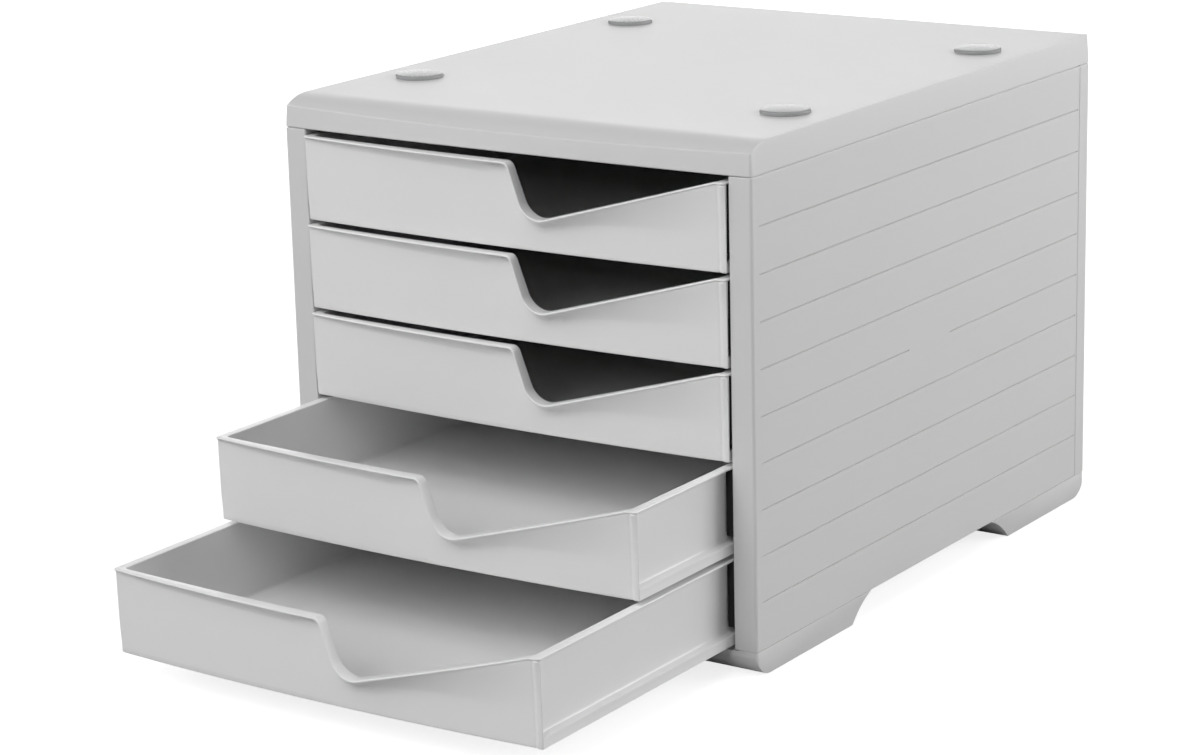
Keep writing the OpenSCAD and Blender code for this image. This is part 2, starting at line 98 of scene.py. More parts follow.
class DeskBoxCase(PropertyGroup):
    """Sizes of the case"""
    cover_bow: size("Cover bow", "How far the cover's front bows out", 3.0, 0, 8)
    slope_drop: size("Slope drop", "Drop of the slope along the cover's front", 4.9, 1, 8)
    slope_angle: FloatProperty(name="Slope angle", description="Steepest angle of the slope",
                               default=math.radians(30), min=0.2, max=0.8, subtype="ANGLE")
    slope_blend: size("Slope blend", "Radius that blends the slope into the top", 30.0, 5, 60)
    cover_draft: size("Cover draft", "Lean of the cover's sides", 0.8, 0, 2)
    edge_side: size("Side edge", "Radius along the cover's side edges", 0.45, 0.3, 4)
    edge_front: size("Front edge", "Radius along the cover's front edge", 0.4, 0.2, 3)
    corner: size("Corner", "Radius of the upright corners", 1.5, 0.5, 4)
    seam_notch: size("Seam notch", "Depth of the notch along the seams", 0.7, 0, 1.5)
    skin: size("Skin", "Wall of the mouldings", 2.2, 1, 4)
    groove_depth: size("Groove depth", "Depth of the side grooves", 0.5, 0, 1.5)
    groove_height: size("Groove height", "Height of the side grooves", 0.95, 0.5, 5)
    groove_pitch: size("Groove pitch", "Distance between side grooves", 22.225, 10, 40)
    groove_first: size("First groove", "Height of the lowest groove above the seam", 23.2, 5, 40)
    grooves: IntProperty(name="Grooves", description="Number of side grooves",
                         default=9, min=1, max=15)


class DeskBoxTray(PropertyGroup):
    """Sizes of the trays"""
    bow: size("Front bow", "How far a tray's front bows out", 4.5, 0, 8)
    proud: size("Proud", "How far the front's ends stand ahead of the posts", 1.2, 0, 3)
    lip_end: size("Lip at the ends", "How far the lip stands out at its ends", 1.4, 0.5, 6)
    lip_middle: size("Lip at the middle", "How far the lip stands out at the middle", 3.8, 1, 8)
    lip_thick: size("Lip thickness", "Thickness of the lip and the rim", 1.15, 0.6, 3)
    wall: size("Front wall", "Wall of the front", 2.0, 1, 4)
    lean: size("Front lean", "How far the front leans back at its foot", 0.85, 0, 3)
    fillet: size("Floor fillet", "Radius between the floor and the walls", 2.0, 1, 12)


class DeskBoxFinish(PropertyGroup):
    """Colours and gloss"""
    shell: colour("Case", "Colour of the case mouldings", (0.70, 0.70, 0.70))
    tray: colour("Trays", "Colour of the trays", (0.85, 0.85, 0.85))
    # painted shade: near-black colour for the runner plates, standing in for the deep shade inside
    # the case
    painted_shade: colour("Inner plates", "Colour of the runner plates", (0.012, 0.012, 0.013))
    pad: colour("Pads", "Colour of the stacking pads", (0.34, 0.344, 0.348))
    shell_rough: FloatProperty(name="Case roughness", description="Roughness of the case",
                               default=0.42, min=0.05, max=1.0, subtype="FACTOR")
    tray_rough: FloatProperty(name="Tray roughness", description="Roughness of the trays",
                              default=0.34, min=0.05, max=1.0, subtype="FACTOR")


# ---------------------------------------------------------------- shader and geometry trees

class Socket:
    """An output of a node that can be used in sums."""

    def __init__(self, tree, link):
        self.tree = tree
        self.link = link

    def math(self, operation, *values):
        return self.tree.node("ShaderNodeMath", {"operation": operation}, values)

    def __add__(self, other):
        return self.math("ADD", self, other)

    def __radd__(self, other):
        return self.math("ADD", other, self)

    def __sub__(self, other):
        return self.math("SUBTRACT", self, other)

    def __mul__(self, other):
        return self.math("MULTIPLY", self, other)


class Tree:
    """Adds nodes to a node tree."""

    def __init__(self, nodes):
        self.nodes = nodes

    def node(self, kind, settings=None, values=(), output=0):
        """Adds a node, sets it, feeds its inputs, and returns one of its outputs."""
        made = self.nodes.nodes.new(kind)
        for name, value in (settings or {}).items():
            setattr(made, name, value)
        pairs = values.items() if isinstance(values, dict) else enumerate(values)
        for key, value in pairs:
            if value is None:
                continue
            entry = made.inputs[key]
            if isinstance(value, Socket):
                self.nodes.links.new(value.link, entry)
            else:
                entry.default_value = value
        return Socket(self, made.outputs[output]) if made.outputs else None


def empty_tree(thing):
    """Clears the nodes of a material or a world and returns its tree."""
    thing.use_nodes = True
    thing.node_tree.nodes.clear()
    return Tree(thing.node_tree)


def plastic(name, shade, rough, grain=0.0004, grain_height=0.00001, cloud=0.012, specular=0.5):
    """Moulded plastic: a fine spark-eroded grain, faint clouds of colour and of gloss."""
    made = bpy.data.materials.get(name)
    if made:
        return made
    made = bpy.data.materials.new(name)
    tree = empty_tree(made)
    spot = tree.node("ShaderNodeTexCoord", output=3)
    clouds = tree.node("ShaderNodeTexNoise", {}, {"Vector": spot, "Scale": 14.0, "Detail": 3.0})
    fine = tree.node("ShaderNodeTexNoise", {},
                     {"Vector": spot, "Scale": 1.0 / grain, "Detail": 2.0, "Roughness": 0.6})
    scuffs = tree.node("ShaderNodeTexNoise", {},
                       {"Vector": spot, "Scale": 55.0, "Detail": 6.0, "Roughness": 0.7})
    low = [c * (1.0 - cloud) for c in shade] + [1.0]
    high = [min(1.0, c * (1.0 + cloud)) for c in shade] + [1.0]
    tone = tree.node("ShaderNodeMix", {"data_type": "RGBA"}, {0: clouds, 6: low, 7: high}, 2)
    gloss = rough + (clouds - 0.5) * 0.05 + (scuffs - 0.5) * 0.07 + (fine - 0.5) * 0.05
    bump = tree.node("ShaderNodeBump", {}, {"Strength": 0.35, "Distance": grain_height,
                                            "Height": fine})
    surface = tree.node("ShaderNodeBsdfPrincipled", {}, {
        "Base Color": tone, "Roughness": gloss, "Specular IOR Level": specular, "Normal": bump})
    tree.node("ShaderNodeOutputMaterial", {}, {"Surface": surface})
    return made


def rubber(name, shade):
    """Soft dull rubber with a coarse matt grain."""
    made = bpy.data.materials.new(name)
    tree = empty_tree(made)
    spot = tree.node("ShaderNodeTexCoord", output=3)
    pores = tree.node("ShaderNodeTexNoise", {}, {"Vector": spot, "Scale": 1800.0, "Detail": 4.0})
    low = [c * 0.8 for c in shade] + [1.0]
    high = [c * 1.3 for c in shade] + [1.0]
    tone = tree.node("ShaderNodeMix", {"data_type": "RGBA"}, {0: pores, 6: low, 7: high}, 2)
    bump = tree.node("ShaderNodeBump", {}, {"Strength": 0.6, "Distance": 0.00004, "Height": pores})
    surface = tree.node("ShaderNodeBsdfPrincipled", {}, {
        "Base Color": tone, "Roughness": 0.8 + (pores - 0.5) * 0.15, "Normal": bump})
    tree.node("ShaderNodeOutputMaterial", {}, {"Surface": surface})
    return made


def shell_finish():
    looks = bpy.context.scene.desk_box_finish
    return plastic("case_plastic", looks.shell, looks.shell_rough)


def tray_finish():
    looks = bpy.context.scene.desk_box_finish
    return plastic("tray_plastic", looks.tray, looks.tray_rough, grain=0.0003)


# painted shade: near-black plastic for the runner plates and their guide strips, standing in for
# the shade inside the case
def painted_shade_finish():
    looks = bpy.context.scene.desk_box_finish
    return plastic("painted_shade_plastic", looks.painted_shade, 0.55, grain=0.0005, cloud=0.1, specular=0.25)


def pad_finish():
    looks = bpy.context.scene.desk_box_finish
    return plastic("pad_plastic", looks.pad, 0.27, grain=0.0008, grain_height=0.000002,
                   cloud=0.02, specular=0.2)


# ---------------------------------------------------------------- mesh building

class Moulding:
    """Collects the points and faces of one moulding, in millimetres."""

    def __init__(self):
        self.points = []
        self.faces = []

    def add(self, ring):
        """Adds a row of points and returns their numbers."""
        first = len(self.points)
        self.points.extend([tuple(map(float, p)) for p in ring])
        return list(range(first, len(self.points)))

    def join(self, low, high, closed=True):
        """Quads between two rows of points."""
        count = len(low) if closed else len(low) - 1
        for i in range(count):
            k = (i + 1) % len(low)
            self.faces.append((low[i], low[k], high[k], high[i]))

    def loft(self, rings, end=True):
        """Skins closed rings of points, closes the first and, unless told not to, the last."""
        rows = [self.add(r) for r in rings]
        for low, high in zip(rows, rows[1:]):
            self.join(low, high)
        self.faces.append(tuple(reversed(rows[0])))
        if end:
            self.faces.append(tuple(rows[-1]))

    def grid(self, rows):
        """Skins open rows of points."""
        rows = [self.add(r) for r in rows]
        for low, high in zip(rows, rows[1:]):
            self.join(low, high, False)

    def finish(self, name, material, crease=CREASE):
        """Makes the object: doubles merged, faces turned outwards, smooth up to a crease."""
        mesh = bpy.data.meshes.new(name)
        mesh.from_pydata([tuple(c * MM for c in p) for p in self.points], [], self.faces)
        work = bmesh.new()
        work.from_mesh(mesh)
        bmesh.ops.remove_doubles(work, verts=work.verts, dist=0.000002)
        bmesh.ops.dissolve_degenerate(work, edges=work.edges, dist=0.000001)
        bmesh.ops.recalc_face_normals(work, faces=work.faces)
        work.to_mesh(mesh)
        work.free()
        return shown(name, mesh, material, crease)


def shown(name, mesh, material, crease=CREASE):
    """Links a mesh into the scene as a finished object."""
    mesh.name = name
    mesh.materials.clear()
    mesh.materials.append(material)
    mesh.shade_smooth()
    mesh.set_sharp_from_angle(angle=math.radians(crease))
    made = bpy.data.objects.new(name, mesh)
    bpy.context.scene.collection.objects.link(made)
    return made


def baked(source, name, material, crease=CREASE):
    """Turns an object with live modifiers into a plain mesh."""
    graph = bpy.context.evaluated_depsgraph_get()
    mesh = bpy.data.meshes.new_from_object(source.evaluated_get(graph))
    source.modifiers.clear()
    bpy.data.objects.remove(source)
    return shown(name, mesh, material, crease)


def softened(node, width, material, blocks=()):
    """Copies a CAD node, adds blocks to it and rounds its edges."""
    name = node + "_moulding"
    work = bmesh.new()
    work.from_mesh(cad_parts[node].data)
    for low, high in blocks:
        middle, spread = Matrix.Translation((low + high) / 2), Matrix.Diagonal((*(high - low), 1.0))
        bmesh.ops.create_cube(work, size=1.0, matrix=middle @ spread)
    bmesh.ops.remove_doubles(work, verts=work.verts, dist=0.000005)
    bmesh.ops.dissolve_limit(work, angle_limit=math.radians(1.0), verts=work.verts,
                             edges=work.edges)
    mesh = bpy.data.meshes.new(name)
    work.to_mesh(mesh)
    work.free()
    mesh.materials.clear()
    rough = bpy.data.objects.new(name + "_rough", mesh)
    bpy.context.scene.collection.objects.link(rough)
    edge = rough.modifiers.new("edges", "BEVEL")
    edge.width = width
    edge.segments = 2
    edge.limit_method = "ANGLE"
    edge.angle_limit = math.radians(35)
    edge.harden_normals = False
    return baked(rough, name, material)


def arc(cx, cy, r, start, end, steps):
    """Points of an arc, angles in degrees."""
    turns = np.radians(np.linspace(start, end, steps + 1))
    return [(cx + r * math.cos(a), cy + r * math.sin(a)) for a in turns]


def bow_line(x, half, rise):
    """How far a bowed line stands out at x; nothing at its ends."""
    r = (half * half + rise * rise) / (2 * rise)
    return rise - r + np.sqrt(r * r - np.square(np.clip(x, -half, half)))


def place(piece, body, slot, *nodes):
    """Gives a piece its body and hides the CAD nodes it replaces; slot is not used."""
    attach(piece, body)
    if nodes:
        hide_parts(*nodes)


# ---------------------------------------------------------------- trays

class FrontEdge:
    """Top edge of a tray's front: level lip, steep flank, trough and long slope."""
    LEVEL = 42.0
    HALF = 121.2
    LIP_X = 6.0
    LEAN = math.radians(20.0)
    SLOPE = math.radians(15.8)
    TROUGH_R = 11.5
    LIP_R = 4.0
    END_X = 116.0

    def __init__(self):
        tan = math.tan
        run = ((self.END_X - self.LIP_X) * tan(self.SLOPE)
               / (1 + tan(self.SLOPE) * tan(self.LEAN)))
        low = (self.LIP_X + run * tan(self.LEAN), self.LEVEL - run)
        fall = self.LEAN - math.pi / 2
        line = [(-self.HALF - 5, self.LEVEL)]
        line += self.rounded((self.LIP_X, self.LEVEL), 0.0, fall, self.LIP_R)
        line += self.rounded(low, fall, self.SLOPE, self.TROUGH_R)
        line += self.rounded((self.END_X, self.LEVEL), self.SLOPE, 0.0, self.LIP_R * 2)
        line += [(self.HALF + 5, self.LEVEL)]
        self.line = np.array(line)

    @staticmethod
    def rounded(corner, a, b, r):
        side = 1 if b > a else -1
        back = r * math.tan(abs(b - a) / 2)
        sx, sz = corner[0] - back * math.cos(a), corner[1] - back * math.sin(a)
        cx, cz = sx - side * r * math.sin(a), sz + side * r * math.cos(a)
        turns = np.linspace(a - side * math.pi / 2, b - side * math.pi / 2, 25)
        return [(cx + r * math.cos(t), cz + r * math.sin(t)) for t in turns]

    def height(self, x, below=0.0):
        """Height at x of the edge, moved square to itself by below."""
        run = np.gradient(self.line, axis=0)
        run /= np.linalg.norm(run, axis=1)[:, None]
        moved = self.line + below * np.stack([run[:, 1], -run[:, 0]], axis=1)
        return np.interp(x, moved[:, 0], moved[:, 1])

    def stations(self):
        """Places along x, close together where the edge is steep or the face changes."""
        span = np.cumsum(np.r_[0, np.linalg.norm(np.diff(self.line, axis=0), axis=1)])
        fine_from = np.interp(-11.0, self.line[:, 0], span)
        fine_to = np.interp(36.0, self.line[:, 0], span)
        fine = np.interp(np.arange(fine_from, fine_to, 0.8), span, self.line[:, 0])
        end = np.r_[np.arange(102, 110, 2.0), np.arange(110, 115.01, 0.25)]
        left, right = np.arange(-100, -11.5, 4.5), np.arange(36.5, 101, 4.5)
        return np.r_[-end[::-1], left, fine, right, end]


def tray_ring(xs, half, front, back, r_front, r_back, z_front, z_side, wall=None):
    """One closed ring round the tray. front(x) gives y; wall(y) gives the side's x."""
    corner = 6
    reach = half - r_front
    stretch = np.sign(xs) * (100 + (np.abs(xs) - 100) * (reach - 100) / 15.0)
    x = np.where(np.abs(xs) > 100, stretch, xs)
    y, z = front(x), z_front(x)
    out = [(a, b, c) for a, b, c in zip(x, y, z)]
    y_right, y_left = float(front(np.array([reach]))[0]), float(front(np.array([-reach]))[0])

    def turn(cx, cy, r, start, z0, z1):
        pts = []
        for k in range(1, corner):
            a = math.radians(start + 90.0 * k / corner)
            f = k / corner
            pts.append((cx + r * math.cos(a), cy + r * math.sin(a), z0 + (z1 - z0) * f))
        return pts

    def flank(sign, y0, y1):
        wing = max(WING_BACK, y0 + 0.05)
        ys = np.r_[y0, y0 + (wing - y0) * np.array([0.25, 0.5, 0.75, 0.9, 1.0]),
                   np.linspace(wing + 0.35, y1, 9)]
        across = [half if wall is None else wall(v) for v in ys]
        return [(sign * w, v, z_side) for w, v in zip(across, ys)]

    out += turn(reach, y_right + r_front, r_front, -90, z[-1], z_side)
    out += flank(1, y_right + r_front, back - r_back)
    out += turn(half - r_back, back - r_back, r_back, 0, z_side, z_side)
    out += [(a, back, z_side) for a in np.linspace(half - r_back, r_back - half, 12)]
    out += turn(r_back - half, back - r_back, r_back, 90, z_side, z_side)
    out += flank(-1, y_left + r_front, back - r_back)[::-1]
    out += turn(-reach, y_left + r_front, r_front, 180, z_side, z[0])
    return out


def lip_reach(x, tray):
    """How far the lip stands ahead of the face at x; more along the cut-out's slope."""
    ends, middle = tray.lip_end / MM, tray.lip_middle / MM
    flare = np.interp(x, [8, 30, 90, 117], [0.0, 1.2, 1.4, 0.0])
    return ends + (middle - ends) * (1 - np.square(np.clip(x / 121.0, -1, 1))) + flare


def scoop_height(x):
    """Height at x of the foot of the hollow between the lip and the face."""
    return np.interp(x, [-121, -61, -7, 14, 20, 29, 60, 90, 112, 121],
                     [3.0, 4.5, 6.0, 6.0, 4.0, 3.0, 9.0, 17.0, 21.0, 21.0])


def scoop_share(x, u):
    """Share of the lip's reach that is left at the part u of the hollow's height."""
    strength = np.interp(x, [-121, -116, -100, -61, -12, -5, 16, 24, 112, 119, 121],
                         [0.0, 0.25, 0.6, 0.9, 1.0, 0.0, 0.0, 1.0, 1.0, 0.8, 0.2])
    return (1 - u) ** np.where(x < 10, 2.0, 1.35) * strength


def bead(x, half):
    """Small upright bead along the right end of the face, with a faint line beside it."""
    d = half - x
    return (0.6 * np.sqrt(np.clip(1 - np.square((d - 1.6) / 1.6), 0, 1))
            - 0.22 * np.exp(-np.square((d - 4.0) / 0.45)))


def build_tray(n, shift, tray):
    """Tray n, worked out closed and with its bottom at height 0, then moved by shift."""
    edge = FrontEdge()
    xs = edge.stations()
    front_y = CASE_FRONT - tray.proud / MM
    wall_t = tray.wall / MM
    thick = tray.lip_thick / MM
    rise = tray.bow / MM
    lean = tray.lean / MM
    fillet = tray.fillet / MM
    top = edge.LEVEL
    half = edge.HALF
    inner_back, outer_back, rim_back = 160.5, 162.3, 163.8
    inner_half, wall_half = 116.3, 117.8
    inner_r = 1.4

    def end_at(z):
        return half - 0.3 * (1 - z / top)

    def face(x, z):
        return front_y - bow_line(x, half, rise) + lean * (1 - z / top)

    def beaded(x, z):
        return face(x, z) - bead(x, end_at(z))

    def inside(x, z):
        return face(x, z) + wall_t

    def level(v):
        return lambda x: np.full_like(x, v)

    def along(below):
        return lambda x: edge.height(x, below)

    rings = []

    def ring(half_x, front, back, rf, rb, z_front, z_side, wall=None):
        rings.append(tray_ring(xs, half_x, lambda x: front(x, z_front(x)), back, rf, rb,
                               z_front, z_side, wall))

    # floor, fillet and inner wall
    floor = 2.8
    for turn in np.radians([0, 18, 36, 54, 72, 90]):
        inset = fillet * (1 - math.sin(turn))
        z = floor + fillet * (1 - math.cos(turn))
        ring(inner_half - 1.0 - inset, lambda x, z, i=inset: inside(x, z) + i, inner_back - inset,
             inner_r - inset * 0.4, 7.0 - inset * 0.9, level(z), z)
    soft = 0.45
    for turn in np.radians([0, 30, 60, 90]):
        out, drop = soft * (1 - math.cos(turn)), soft * (1 - math.sin(turn))
        ring(inner_half + out, lambda x, z, o=out: inside(x, z) - o, inner_back + out,
             inner_r + out * 0.5, 7.0 - out, along(drop), top - drop)

    # lip and rim, with a well rounded edge
    def lip(x, z):
        return front_y - bow_line(x, half, rise) - lip_reach(x, tray)

    big = thick / 2
    for turn in np.radians([0, 22, 45, 68, 90, 112, 135, 158, 180]):
        inset = big * (1 - math.sin(turn))
        drop = big * (1 - math.cos(turn))
        ring(half - inset, lambda x, z, i=inset: lip(x, z) + i, rim_back - inset,
             1.5 - inset * 0.5, 3.0, along(drop), top - drop)

    # hollow under the lip; on the sides the underside of the rim and the wall
    def wall_at(z, foot=0.0):
        straight = wall_half - (1 - z / top)
        return lambda y: end_at(z) - 0.15 if y < WING_BACK + 0.1 else max(straight, foot)

    steps = np.array([0.03, 0.07, 0.12, 0.19, 0.27, 0.35, 0.43, 0.51, 0.59, 0.67, 0.75, 0.83,
                      0.91, 1.0])
    side_z = np.interp(np.arange(len(steps)), [0, 1, 2, len(steps) - 1],
                       [top - thick, top - thick - 0.2, top - thick - 0.7, 12.0])

    def scoop_low(x):
        start = edge.height(x, thick)
        return start, np.minimum(scoop_height(x), start - 1.6)

    for k, (u, zs) in enumerate(zip(steps, side_z)):
        def z_front(x, u=u):
            start, reach = scoop_low(x)
            return start - reach * u
        grow = (0.35, 0.1)[k] if k < 2 else 0.0
        wall = wall_at(zs)
        ring(end_at(zs),
             lambda x, z, u=u: beaded(x, z) - (lip_reach(x, tray) - 0.25) * scoop_share(x, u),
             outer_back + grow - 0.8 * (1 - zs / top), 0.6, 2.4, z_front, zs,
             (lambda y, w=wall, g=grow: w(y) + (g if y > WING_BACK + 0.1 else 0)))

    # face down to the foot; on the sides the ledge along the wall
    low = [(0.25, 7.2, 0, 0), (0.45, 6.4, 0.15, 0.1), (0.6, 5.9, 0.5, 0.4), (0.75, 5.55, 1.3, 0.9),
           (0.85, 5.35, 3.5, 1.2), (0.93, 5.1, 3.8, 1.4), (1.0, 0.6, 3.8, 1.4)]
    for share, zs, out, back_out in low:
        def z_front(x, share=share):
            start, reach = scoop_low(x)
            return start - reach + (0.6 - start + reach) * share
        foot = min(wall_half - (1 - zs / top) + out, half - 0.3)
        ring(end_at(zs), beaded, outer_back + back_out - 0.9, 0.6, 2.4, z_front, zs,
             wall_at(zs, foot))
    for inset, z in ((0.18, 0.18), (0.6, 0.0)):
        ring(end_at(z) - inset, lambda x, z, i=inset: beaded(x, z) + i, outer_back + 0.5 - inset,
             0.6, 2.4, level(z), z, wall_at(z, half - 0.3 - inset))

    made = Moulding()
    dx, dy, dz = shift
    made.loft([[(x + dx, y + dy, z + dz) for x, y, z in r] for r in rings])
    return made.finish(f"tray_{n}", tray_finish(), crease=28.0)


class DESKBOX_OT_trays(Operator):
    """Builds the five sliding trays with their bowed fronts, lips and finger cut-outs"""
    bl_idname = "desk_box.trays"
    bl_label = "Trays"

    def execute(self, context):
        tray = context.scene.desk_box_tray
        for n in range(1, TRAYS + 1):
            low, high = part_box(f"drawer_{n}")
            shift = (0.0, (high.y - CLOSED_BACK) / MM, low.z / MM)
            place(build_tray(n, shift, tray), f"tray_{n}", "tray", f"drawer_{n}")
        return {"FINISHED"}


# ---------------------------------------------------------------- case

def slope_height(y, case):
    """Height of the cover's top at y: flat, then blended into the front slope."""
    angle = case.slope_angle
    r = case.slope_blend / MM
    blend_run, blend_drop = r * math.sin(angle), r * (1 - math.cos(angle))
    flat_drop = max(case.slope_drop / MM - blend_drop, 0.2)
    flat_run = flat_drop / math.tan(angle)
    t = np.asarray(y, float) - CASE_FRONT
    start = flat_run + blend_run
    inside_blend = np.clip(start - t, 0, blend_run)
    drop = r - np.sqrt(r * r - np.square(inside_blend))
    past = np.maximum(flat_run - t, 0)
    return CASE_TOP - drop - past * math.tan(angle)


def side_share(k, total, front_n):
    """Share of the side at station k of a cover ring: 0 along the front, 1 past the corners."""
    if k < front_n:
        return 0.0
    if k < front_n + COVER_TURN - 1:
        return (k - front_n + 1) / COVER_TURN
    if k > total - COVER_TURN:
        return (total - k) / COVER_TURN
    return 1.0


def cover_ring(case, xs, ys, inset, z_of, corner_r):
    """One closed ring round the cover, moved in by inset; z_of(y, share of the side) gives z."""
    half = CASE_HALF - inset
    back = CASE_BACK - inset
    rise = case.cover_bow / MM
    reach = half - corner_r
    x = xs * reach
    y = CASE_FRONT - bow_line(x, CASE_HALF, rise) + inset
    y_end = float(y[0])
    pts = list(zip(x, y))

    def turn(cx, cy, start):
        angles = [math.radians(start + 90 * k / COVER_TURN) for k in range(1, COVER_TURN)]
        return [(cx + corner_r * math.cos(a), cy + corner_r * math.sin(a)) for a in angles]

    y0, y1 = y_end + corner_r, back - corner_r
    pts += turn(reach, y0, -90)
    pts += [(half, y0 + (y1 - y0) * s) for s in ys]
    pts += turn(reach, y1, 0)
    pts += [(v, back) for v in -xs * reach]
    pts += turn(-reach, y1, 90)
    pts += [(-half, y0 + (y1 - y0) * s) for s in ys[::-1]]
    pts += turn(-reach, y0, 180)
    return [(px, py, z_of(py, side_share(k, len(pts), len(xs)))) for k, (px, py) in enumerate(pts)]


class DESKBOX_OT_top_cover(Operator):
    """Builds the cover with its bowed front, its slope and its seam notch"""
    bl_idname = "desk_box.top_cover"
    bl_label = "Top cover"

    def execute(self, context):
        case = context.scene.desk_box_case
        xs = np.linspace(-1, 1, 33)
        ys = np.r_[np.linspace(0, 0.085, 18), np.linspace(0.1, 1.0, 14)]
        corner = case.corner / MM
        draft = case.cover_draft / MM
        notch = case.seam_notch / MM
        skin = case.skin / MM
        soft_side, soft_front = case.edge_side / MM, case.edge_front / MM
        low = SEAM_HIGH
        rings = []

        def ring(inset, z_of, r=None):
            rings.append(cover_ring(case, xs, ys, inset, z_of, corner - inset if r is None else r))

        def top(y, s=1.0):
            return float(slope_height(y, case))

        def soft(s):
            return soft_front + (soft_side - soft_front) * min(1.0, s * 1.6)

        # inner skin, lower edge, notch and drafted side
        ring(skin, lambda y, s: top(y) - skin, 0.4)
        ring(skin, lambda y, s: low, 0.4)
        for inset, z in ((notch, 0.0), (notch, 0.18), (0.12, 0.34), (0.0, 0.6), (0.02, 0.9)):
            ring(inset, lambda y, s, z=z: low + z)
        for share in (0.33, 0.66):
            ring(draft * share, lambda y, s, f=share: low + 2 + (top(y) - soft(s) - low - 2) * f)

        # upper edge, rounded towards the middle of the nearest corner or side
        edge = cover_ring(case, xs, ys, draft, top, max(corner - draft, 0.3))
        for turn in np.radians([0, 15, 30, 45, 60, 75, 90]):
            row = []
            for k, (x, y, _) in enumerate(edge):
                r = soft(side_share(k, len(edge), len(xs)))
                cx = max(-(CASE_HALF - corner), min(CASE_HALF - corner, x))
                fy = CASE_FRONT - float(bow_line(x, CASE_HALF, case.cover_bow / MM)) + corner
                cy = max(fy, min(CASE_BACK - corner, y))
                move = Vector((cx - x, cy - y))
                if move.length > 1e-6:
                    move = move.normalized() * (r * (1 - math.cos(turn)))
                row.append((x + move.x, y + move.y, top(y + move.y) - r * (1 - math.sin(turn))))
            rings.append(row)
        ring(draft + max(soft_side, corner) + 0.4, top, 0.0)

        made = Moulding()
        made.loft(rings, end=False)
        # the top inside the last ring
        last, first = rings[-1], len(xs) + COVER_TURN - 1
        front, right = last[:len(xs)], last[first:first + len(ys)]
        y_back = last[first + len(ys)][1]
        shares = [(p[1] - right[0][1]) / (right[-1][1] - right[0][1]) for p in right]
        grid = [[(x, y + (y_back - y) * f) for x, y, _ in front] for f in shares]
        made.grid([[(x, y, top(y)) for x, y in row] for row in grid])
        piece = made.finish("cover", shell_finish(), crease=30.0)
        place(piece, "case", "shell", "top_cover")
        return {"FINISHED"}


def panel_outline(case):
    """The right side panel from above: points and how far each follows the outer skin."""
    half, front = CASE_HALF, CASE_FRONT
    r, skin = case.corner / MM, case.skin / MM
    post_in = PANEL_LOW.x / MM
    post_back = CASE_FRONT + 10.5
    seam = REAR_LOW.y / MM - 0.25
    skin_in = half - skin
    tongue = PANEL_HIGH.y / MM
    outer = arc(post_in + 0.8, front + 0.8, 0.8, 180, 270, 12)
    outer += arc(half - r, front + r, r, -90, 0, 14)
    outer += [(half, y) for y in np.linspace(front + r + 4, seam - 0.4, 10)]
    outer += [(half - 0.12, seam - 0.1), (half - 0.4, seam)]
    inner = [(skin_in - 0.2, seam), (skin_in - 0.2, tongue), (skin_in - 1.8, tongue),
             (skin_in - 1.8, seam - 3.2), (skin_in, seam - 3.2), (skin_in, front + skin),
             (post_in + skin, front + skin), (post_in + skin, post_back), (post_in, post_back)]
    return outer + inner, [1.0] * len(outer) + [0.0] * len(inner)


def inset_ring(points, weights, amount, z):
    """Moves the weighted points of an outline inwards."""
    out = []
    count = len(points)
    for k, ((x, y), w) in enumerate(zip(points, weights)):
        a, b = Vector(points[k - 1]), Vector(points[(k + 1) % count])
        run = (b - a).normalized()
        out.append((x - run.y * amount * w, y + run.x * amount * w, z))
    return out


def geometry_tree(name, floats, integers=()):
    """A geometry tree that takes a mesh, numbers and a finish, with its inputs by name."""
    nodes = bpy.data.node_groups.new(name, "GeometryNodeTree")
    entries = [("Geometry", "Geometry"), *((label, "Float") for label in floats),
               *((label, "Int") for label in integers), ("Finish", "Material")]
    for label, kind in entries:
        nodes.interface.new_socket(label, in_out="INPUT", socket_type="NodeSocket" + kind)
    nodes.interface.new_socket("Geometry", in_out="OUTPUT", socket_type="NodeSocketGeometry")
    tree = Tree(nodes)
    given = nodes.nodes.new("NodeGroupInput")
    return tree, {s.name: Socket(tree, s) for s in given.outputs if s.name}


def end_tree(tree, geometry, finish):
    """Makes the instances real, gives them their finish and ends the tree."""
    real = tree.node("GeometryNodeRealizeInstances", {}, [geometry])
    done = tree.node("GeometryNodeSetMaterial", {}, {"Geometry": real, "Material": finish})
    tree.node("NodeGroupOutput", {}, [done])
    return tree.nodes


def seam_rows(notch, between=()):
    """Heights of a wall's rings and how far each lies in: a notch along both of its seams."""
    low, high = SEAM_LOW, SEAM_HIGH
    rows = [(low, notch * 0.7), (low + 0.2, notch * 0.7), (low + 0.35, 0.12), (low + 0.6, 0.0)]
    rows += [(z, 0.0) for z in between]
    return rows + [(high - 0.6, 0.0), (high - 0.34, 0.12), (high - 0.18, notch), (high, notch)]


